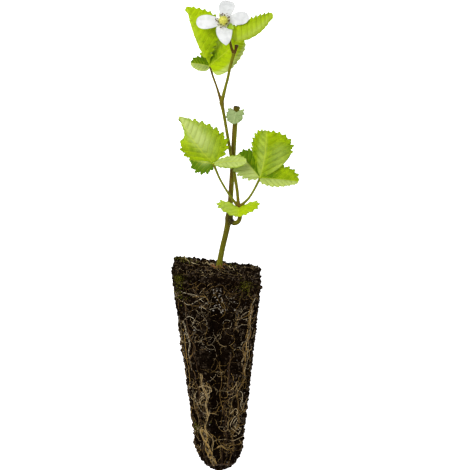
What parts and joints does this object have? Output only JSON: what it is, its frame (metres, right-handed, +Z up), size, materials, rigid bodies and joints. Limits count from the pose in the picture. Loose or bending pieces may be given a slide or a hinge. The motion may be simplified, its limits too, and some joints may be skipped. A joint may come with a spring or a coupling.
{
  "type": "bramble plug plant",
  "caption": "Young flowering bramble with toothed leaves, growing from a bare tapered plug of soil laced with roots, laid on its back.",
  "frame": {"origin": "on the plug's flat back face, in its middle across and 6 mm below the soil rim; the part lies on this face", "axes": "+Y along the plant from the nose of the plug to the flower, +Z up out of the surface it lies on, +X to the right as seen from above with the flower at the top"},
  "size_m": [0.0735, 0.2793, 0.0571],
  "materials": {
    "soil": "crumbly dark peat, matt",
    "root": "tan fibrous root, matt",
    "stem": "olive-brown young bark, satin",
    "leaf": "yellow-green leaf, soft sheen",
    "grey_leaf": "grey-green leaf, matt",
    "petal": "white petal, matt",
    "sepal": "downy green, matt",
    "anther": "brown pollen sacs on pale threads",
    "carpel": "yellow-green, slightly shiny"
  },
  "bodies": {
    "root": {"soil_plug": "soil", "root_net": "root", "stem": "stem", "leaf_low": "leaf", "leaf_left": "leaf", "leaf_right": "leaf", "leaf_top": "leaf", "leaf_bract": "leaf", "leaf_cane_top": "grey_leaf", "calyx": "sepal", "petal_top": "petal", "petal_left": "petal", "petal_right": "petal", "petal_lower": "petal", "stamens": "anther", "carpels": "carpel"}
  },
  "joints": []
}
